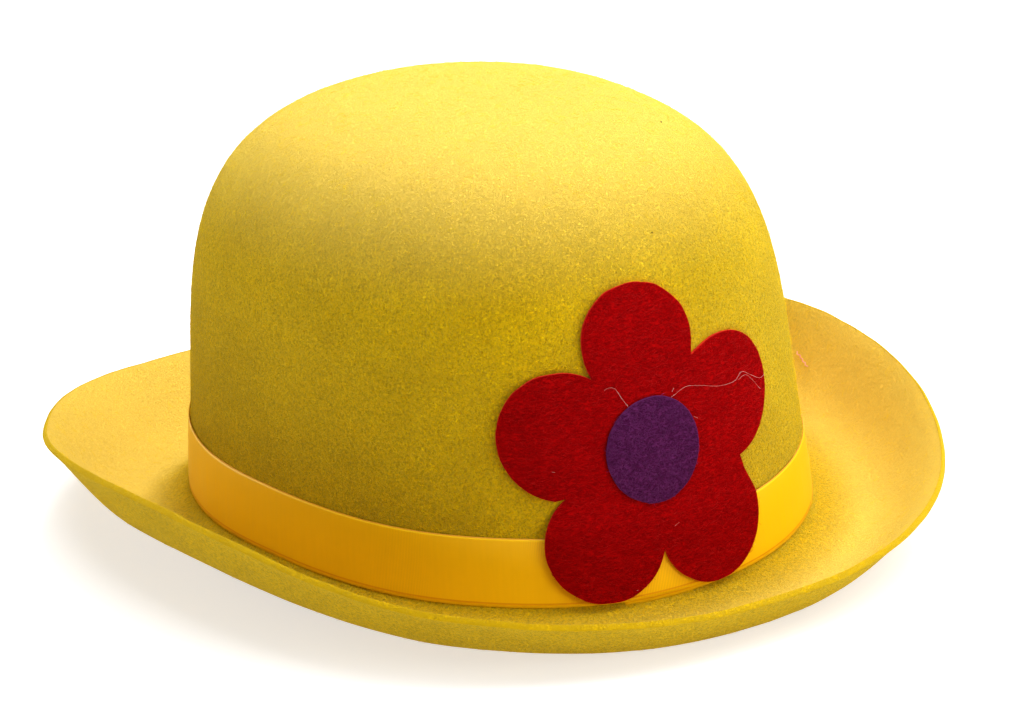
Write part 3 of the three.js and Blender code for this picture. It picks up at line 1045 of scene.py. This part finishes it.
@dataclass
class Flower:
    """The felt flower: one piece of five petals and a round centre."""

    form: HatForm
    ribbon: Ribbon
    height: float = 50.7 * MM
    aside: float = -10.3 * MM
    reach: float = 48 * MM
    lobe: float = 17.5 * MM
    notch: float = 28 * MM
    felt: float = 0.95 * MM
    centre: float = 30 * MM
    centre_felt: float = 0.65 * MM
    centre_stretch: tuple[float, float] = (0.985, 1.03)
    centre_drop: float = 0.5 * MM
    run: float = 9 * MM
    clearance: float = 0.1 * MM
    over_ribbon: float = 1.45 * MM
    round_off: float = 0.28 * MM
    petal_waver: float = 0.28 * MM
    centre_waver: float = 0.15 * MM
    centre_gap: float = 0.12 * MM
    tip_lift: float = 0.3 * MM
    petals: tuple[Petal, ...] = (
        Petal(91, 1.01, 1.00, 126.5, 0.94),
        Petal(164.5, 0.97, 1.08, 201, 1.04),
        Petal(235, 1.01, 1.01, 269, 0.99),
        Petal(303, 1.015, 1.02, 341.5, 1.15),
        Petal(377, 0.99, 1.07, 416, 1.02),
    )
    petal_steps: int = 56
    petal_rings: int = 30
    centre_steps: int = 120
    centre_rings: int = 16

    def seat(self, t: Array, z: Array) -> Array:
        """How far the flower's back stands off the crown."""
        foot = self.form.brim(t.ravel(), 40)[0].reshape(t.shape)
        top = foot + self.ribbon.above_foot + self.ribbon.width + self.ribbon.lap_rise
        share = smooth_share(z, top, top + self.run)
        return self.over_ribbon + (self.clearance - self.over_ribbon) * share

    def petal_edge(self, petal: Petal, before: Array, after: Array, off: Array) -> Array:
        """Radii of a petal's edge at angles off its middle line.

        Args:
            petal: The petal.
            before: The notch before it, with the petal's middle line along x.
            after: The notch after it.
            off: The angles.

        Returns:
            The radii: a round lobe with a straight side down to each notch.
        """
        lobe = self.lobe * petal.fullness
        distance = self.reach * petal.reach - lobe
        radii = distance * np.cos(off) + np.sqrt(np.maximum(lobe ** 2 - (distance * np.sin(off)) ** 2, 0))
        for notch in (before, after):
            towards = notch - (distance, 0)
            heading = math.atan2(towards[1], towards[0])
            spread = math.acos(min(lobe / float(np.hypot(*towards)), 1.0))
            touches = [
                np.array([distance + lobe * math.cos(heading + a), lobe * math.sin(heading + a)])
                for a in (spread, -spread)
            ]
            touch = max(touches, key=lambda point: float(np.hypot(*point)))
            turn = math.atan2(touch[1], touch[0])
            run = touch - notch
            straight = (notch[0] * run[1] - notch[1] * run[0]) / (np.cos(off) * run[1] - np.sin(off) * run[0])
            radii = np.where((np.abs(off) > abs(turn)) & (off * turn > 0), straight, radii)
        return radii

    def petal_outline(self) -> tuple[Array, Array]:
        """Turns and radii of the five petals' outline, from notch to notch."""
        turns, radii = [], []
        for i, petal in enumerate(self.petals):
            previous = self.petals[i - 1]
            start = math.radians(previous.notch_turn - (360 if i == 0 else 0) - petal.turn)
            end = math.radians(petal.notch_turn - petal.turn)
            corners = [
                self.notch * reach * np.array([math.cos(angle), math.sin(angle)])
                for angle, reach in ((start, previous.notch_reach), (end, petal.notch_reach))
            ]
            off = np.linspace(start, end, self.petal_steps, endpoint=False)
            radii.append(self.petal_edge(petal, corners[0], corners[1], off))
            turns.append(off + math.radians(petal.turn))
        return np.concatenate(turns), np.concatenate(radii)

    def lay(self, name: str, turns: Array, radii: Array, rings: int, lift: float, felt: float,
            wave: Callable[[Array, Array], Array]) -> Object:
        """Lay a felt shape on the crown at the flower's place.

        Args:
            name: Name of the piece.
            turns: Turns of the outline's points.
            radii: Radii of the outline's points.
            rings: Number of rings from the middle to the edge.
            lift: How far its back stands off its seat.
            felt: Thickness of the felt.
            wave: Gives the extra lift at distances aside and up from the middle.

        Returns:
            The piece, with its cut edge marked.
        """
        shares = 1 - (1 - np.linspace(0, 1, rings + 1)[1:]) ** 1.25
        sheets = []
        for extra in (felt, 0.0):
            radius = radii[None] * shares[:, None]
            aside, up = radius * np.cos(turns), radius * np.sin(turns)
            z = self.form.height_up_wall(self.height, up)
            t = self.form.plan_angle(self.aside + aside, z)
            sheets.append((t, z, self.seat(t, z) + lift + extra + wave(aside, up)))
        faces = [self.form.stand_off(*sheet) for sheet in sheets]
        outward = faces[0][-1] - faces[0][-2]
        outward /= np.linalg.norm(outward, axis=-1, keepdims=True)
        middle, half = (faces[0][-1] + faces[1][-1]) / 2, (faces[0][-1] - faces[1][-1]) / 2
        rim = []
        for turn in np.linspace(0, math.pi, 7)[1:-1]:
            flat = math.copysign(abs(math.cos(turn)) ** 0.6, math.cos(turn))
            rim.append(middle + half * flat + outward * self.round_off * math.sin(turn) ** 0.5)
        stack = np.concatenate([faces[0], np.stack(rim), faces[1][::-1]])
        tops = []
        for extra in (felt, 0.0):
            z0 = np.array([self.height])
            t0 = self.form.plan_angle(np.array([self.aside]), z0)
            zero = np.zeros(1)
            tops.append(self.form.stand_off(t0, z0, self.seat(t0, z0) + lift + extra + wave(zero, zero))[0])
        piece = closed_loft(name, tops[0], stack, tops[1])
        edge = np.concatenate([np.zeros(rings), np.ones(len(rim)), np.zeros(rings)])
        front = np.concatenate([np.ones(rings), np.full(len(rim), 0.6), np.zeros(rings)])
        width = len(turns)
        set_attribute(piece, "edge", np.concatenate([[0], np.repeat(edge, width), [0]]))
        set_attribute(piece, "nap", np.concatenate([[1], np.repeat(front, width), [0]]))
        return piece

    def build(self) -> tuple[Object, Object]:
        """Build the petals and the centre."""
        turns, radii = self.petal_outline()
        edge = np.stack([radii * np.cos(turns), radii * np.sin(turns), 0 * turns], axis=-1)
        radii = radii + self.petal_waver * rough(edge, 5 * MM, 40.0)

        def petal_wave(aside: Array, up: Array) -> Array:
            """Petals lift a little towards their tips, each by its own amount."""
            place = np.stack([aside, up, 0 * up], axis=-1)
            far = smooth_share(np.hypot(aside, up), 0.5 * self.notch, self.reach)
            lift = far * self.tip_lift * (rough(place, 20 * MM, 50.0) + 0.6)
            return lift + 0.05 * MM * rough(place, 5 * MM, 52.0)

        def centre_wave(aside: Array, up: Array) -> Array:
            """The centre bows a little."""
            place = np.stack([aside, up, 0 * up], axis=-1)
            return 0.5 * petal_wave(aside, up) + 0.06 * MM * rough(place, 9 * MM, 60.0) + 0.05 * MM

        petals = self.lay("felt_petals", turns, radii, self.petal_rings, 0.0, self.felt, petal_wave)
        turns = np.linspace(0, FULL_TURN, self.centre_steps, endpoint=False)
        wide, tall = self.centre_stretch
        radius = self.centre / 2
        edge = np.stack([np.cos(turns), np.sin(turns), 0 * turns], axis=-1) * radius
        x = edge[:, 0] * wide
        y = edge[:, 1] * tall - self.centre_drop
        turns = np.unwrap(np.arctan2(y, x))
        radii = np.hypot(x, y) + self.centre_waver * rough(edge, 4 * MM, 44.0)
        centre = self.lay("felt_centre", turns, radii, self.centre_rings, self.felt + self.centre_gap,
                          self.centre_felt, centre_wave)
        return petals, centre


@dataclass(frozen=True)
class Lint:
    """Stray pale hairs and lint on the flower, at distances aside and up from its middle in mm."""

    flower: Flower
    thickness: float = 0.03 * MM
    float_off: float = 0.60 * MM
    hairs: tuple[tuple[tuple[float, float], ...], ...] = (
        ((-13.5, 19.8), (-12.0, 20.3), (-10.2, 19.6), (-8.6, 16.6), (-6.9, 13.8)),
        ((7.2, 13.5), (12.4, 15.3), (17.8, 14.3), (24.6, 12.3), (31.1, 11.9), (34.6, 13.6), (38.4, 11.6),
         (42.9, 9.1), (45.8, 9.3)),
        ((32.9, 11.7), (35.6, 12.3), (38.0, 11.0), (42.8, 5.8)),
        ((7.6, 15.0), (8.4, 16.0)),
        ((14.2, 6.0), (15.5, 5.1)),
        ((31.0, -37.6), (31.4, -37.3)),
        ((-10.9, -40.4), (-10.4, -40.2)),
        ((-31.0, -2.0), (-30.2, -2.2)),
        ((3.0, -24.0), (4.6, -23.2)),
    )

    def build(self, tree: NodeTree, material: Material) -> Object:
        """Build all the hairs as one piece."""
        flower = self.flower
        points, edges = [], []
        for hair in self.hairs:
            knots = np.array(hair) * MM
            places = np.arange(len(knots))
            fine = np.linspace(0, len(knots) - 1, 8 * len(knots))
            aside, up = (rounded(fine, places, knots[:, k]) for k in (0, 1))
            z = flower.form.height_up_wall(flower.height, up)
            t = flower.form.plan_angle(flower.aside + aside, z)
            on_centre = np.hypot(aside, up) < flower.centre / 2
            lift = self.float_off + flower.felt + on_centre * flower.centre_felt
            first = len(points)
            points.extend(flower.form.stand_off(t, z, flower.seat(t, z) + lift))
            edges.extend((i, i + 1) for i in range(first, len(points) - 1))
        mesh = line_mesh("lint_lines", points, edges)
        return run_tree("flower_lint", mesh, tree, {"Radius": self.thickness, "Material": material})


@dataclass(frozen=True)
class Strays:
    """What has settled on the felt: dark specks on the crown and a thread inside the curled brim.

    specks gives plan angles in degrees and heights in mm; thread gives plan angles in degrees and
    shares of the way from the foot to the rim.
    """

    form: HatForm
    speck: float = 0.22 * MM
    thickness: float = 0.16 * MM
    specks: tuple[tuple[float, float], ...] = ((-44.5, 125.9), (-87.75, 109.1), (168.0, 132.19))
    thread: tuple[tuple[float, float], ...] = ((-0.25, 0.66), (-0.75, 0.65), (-1.75, 0.617), (-2.75, 0.60))

    def build_specks(self, tree: NodeTree, material: Material) -> Object:
        """Build the specks as very short thick hairs."""
        turns, heights = (np.array(values) for values in zip(*self.specks))
        centres = self.form.stand_off(np.radians(turns), heights * MM, np.full(len(turns), 0.05 * MM))
        half = np.array([0.5 * self.speck, 0.5 * self.speck, 0])
        points = np.concatenate([centres - half, centres + half])
        mesh = line_mesh("speck_lines", points, [(i, i + len(turns)) for i in range(len(turns))])
        return run_tree("crown_specks", mesh, tree, {"Radius": self.speck, "Material": material})

    def build_thread(self, tree: NodeTree, material: Material) -> Object:
        """Build the thread along the brim's upper face."""
        steps = 60
        turns, shares = (np.array(values) for values in zip(*self.thread))
        places = np.arange(len(turns))
        fine = np.linspace(0, len(turns) - 1, 24)
        t = np.radians(rounded(fine, places, turns))
        upper = self.form.brim(t, steps)[1]
        rows = np.clip((rounded(fine, places, shares) * steps).round().astype(int), 0, steps)
        points = upper[rows, np.arange(len(t))] + np.array([-0.2, 0, 0.35]) * MM
        mesh = line_mesh("thread_line_and_edge_shadow", points, [(i, i + 1) for i in range(len(points) - 1)])
        return run_tree("brim_thread", mesh, tree, {"Radius": self.thickness, "Material": material})


# Studio


@dataclass(frozen=True)
class Lamp:
    """A square soft light: where it stands to the camera's right, towards it and up, and its power."""

    name: str
    right: float
    near: float
    up: float
    power: float
    size: float


@dataclass(frozen=True)
class Studio:
    """Pale floor, soft light and the camera at the photograph's angle."""

    azimuth: float = -33.9
    elevation: float = 18.6
    roll: float = -3.75
    distance: float = 2.2
    focal_pixels: float = 7385.0
    image_width: float = 1024.0
    target: tuple[float, float, float] = (0.0, -0.0061, 0.06)
    aim_right: float = 6.97 * MM
    aim_down: float = 7.36 * MM
    floor_size: float = 12.0
    lamps: tuple[Lamp, ...] = (
        Lamp("top_light", 0.0, 0.0, 1.5, 20.5, 1.2),
        Lamp("right_light", 1.2, 0.0, 1.2, 17.0, 1.0),
        Lamp("back_light", 0.4, -1.0, 1.2, 28.0, 1.0),
        Lamp("low_right_light", 1.4, 1.0, 0.5, 12.0, 0.8),
        Lamp("low_left_light", -1.6, -0.8, 0.4, 12.0, 0.8),
        Lamp("front_light", 0.2, 1.1, 1.4, 4.5, 1.0),
    )
    world: float = 0.10
    floor_shade: float = 0.6
    floor_glow: float = 0.6

    def view_axes(self) -> tuple[Vector, Vector, Vector]:
        """The camera's right, up and back directions at the target."""
        a, e, r = (math.radians(v) for v in (self.azimuth, self.elevation, self.roll))
        back = Vector((math.sin(a) * math.cos(e), -math.cos(a) * math.cos(e), math.sin(e)))
        right = Vector((math.cos(a), math.sin(a), 0.0))
        up = back.cross(right)
        return right * math.cos(r) + up * math.sin(r), up * math.cos(r) - right * math.sin(r), back

    def camera(self) -> None:
        """Make the camera."""
        right, up, back = self.view_axes()
        place = Vector(self.target) + back * self.distance
        aim = Vector(self.target) + right * self.aim_right - up * self.aim_down
        look = (place - aim).normalized()
        side = up.cross(look).normalized()
        data = bpy.data.cameras.new("photo_camera")
        data.sensor_width = 36.0
        data.lens = self.focal_pixels / self.image_width * data.sensor_width
        data.clip_end = 50.0
        camera = bpy.data.objects.new("photo_camera", data)
        turn = Matrix((side, look.cross(side), look)).transposed().to_4x4()
        camera.matrix_world = Matrix.Translation(place) @ turn
        bpy.context.scene.collection.objects.link(camera)
        bpy.context.scene.camera = camera

    def light(self, lamp: Lamp) -> None:
        """Add a lamp that faces the hat."""
        turn = math.radians(self.azimuth)
        right = Vector((math.cos(turn), math.sin(turn), 0.0))
        near = Vector((math.sin(turn), -math.cos(turn), 0.0))
        place = right * lamp.right + near * lamp.near + Vector((0.0, 0.0, lamp.up))
        data = bpy.data.lights.new(lamp.name, "AREA")
        data.energy, data.size = lamp.power, lamp.size
        light = bpy.data.objects.new(lamp.name, data)
        light.location = place
        light.rotation_euler = (place - Vector(self.target)).to_track_quat("Z", "Y").to_euler()
        bpy.context.scene.collection.objects.link(light)

    def floor(self) -> None:
        """Make the floor."""
        half = self.floor_size / 2
        corners = np.array([(-half, -half, 0), (half, -half, 0), (half, half, 0), (-half, half, 0)], float)
        floor = make_piece("studio_floor", corners, [(0, 1, 2, 3)])
        material = bpy.data.materials.new("studio_white")
        material.use_nodes = True
        shader = material.node_tree.nodes["Principled BSDF"]
        shader.inputs["Base Color"].default_value = opaque((self.floor_shade,) * 3)
        shader.inputs["Emission Color"].default_value = opaque((1.0, 1.0, 1.0))
        shader.inputs["Emission Strength"].default_value = self.floor_glow
        shader.inputs["Roughness"].default_value = 0.9
        shader.inputs["Specular IOR Level"].default_value = 0.1
        floor.data.materials.append(material)

    def build(self) -> None:
        """Build the whole studio."""
        self.camera()
        self.floor()
        for lamp in self.lamps:
            self.light(lamp)
        world = bpy.data.worlds.new("studio")
        world.use_nodes = True
        world.node_tree.nodes["Background"].inputs[0].default_value = opaque((1.0, 1.0, 1.0))
        world.node_tree.nodes["Background"].inputs[1].default_value = self.world
        bpy.context.scene.world = world
        view = bpy.context.scene.view_settings
        view.view_transform = "Standard"
        view.look = "None"


def dress(piece: Object, material: Material, node: str = "") -> None:
    """Give a piece its finish and its place in the frame.

    Args:
        piece: The piece.
        material: Its material.
        node: The solid that it replaces, if any.
    """
    if not piece.data.materials:
        piece.data.materials.append(material)
    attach(piece, "root")
    if node:
        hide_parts(node)
    log.info("%s: %d points, %d faces", piece.name, len(piece.data.vertices), len(piece.data.polygons))


def main() -> None:
    """Build the hat and its studio in order."""
    logging.basicConfig(level=logging.INFO, format="%(message)s")
    Studio().build()
    grain, weave, scatter = felt_grain_group(), satin_weave_group(), fibre_tree()
    form = HatForm()
    fibre = YELLOW_FIBRE.material()
    hat = FeltHat(form).build()
    dress(hat, YELLOW_FELT.material(grain), "felt_body")
    for fuzz in (Fuzz("crown_fibres", "crown_nap", 85000.0),
                 Fuzz("crown_fine_fibres", "crown_nap", 85000.0, length=2.1 * MM, radius=0.022 * MM, seed=31),
                 Fuzz("brim_fibres", "brim_nap", 60000.0, length=3.0 * MM, rise=0.3 * MM, seed=9)):
        dress(fuzz.grow(hat, scatter, fibre), fibre)
    ribbon = Ribbon(form)
    band = ribbon.build()
    dress(band, YELLOW_SATIN.material(weave), "ribbon_band")
    ribbon.length()
    flower = Flower(form, ribbon)
    petals, centre = flower.build()
    dress(petals, RED_FELT.material(grain), "flower_petals")
    dress(centre, PURPLE_FELT.material(grain), "flower_centre")
    red, purple = RED_FIBRE.material(), PURPLE_FIBRE.material()
    petal_fuzz = Fuzz("petal_fibres", "nap", 700000.0, length=2.4 * MM, radius=0.03 * MM, rise=0.22 * MM,
                      lie=Lie.MOSTLY_LEVEL, seed=14)
    centre_fuzz = Fuzz("centre_fibres", "nap", 700000.0, length=2.0 * MM, radius=0.03 * MM, rise=0.22 * MM,
                       seed=17)
    dress(petal_fuzz.grow(petals, scatter, red), red)
    dress(centre_fuzz.grow(centre, scatter, purple), purple)
    hairs, strays = hair_tree(), Strays(form)
    lint, speck, thread = LINT.material(), DARK_SPECK.material(), STRAY_THREAD.material()
    dress(Lint(flower).build(hairs, lint), lint)
    dress(strays.build_specks(hairs, speck), speck)
    dress(strays.build_thread(hairs, thread), thread)


if __name__ == "__main__":
    main()
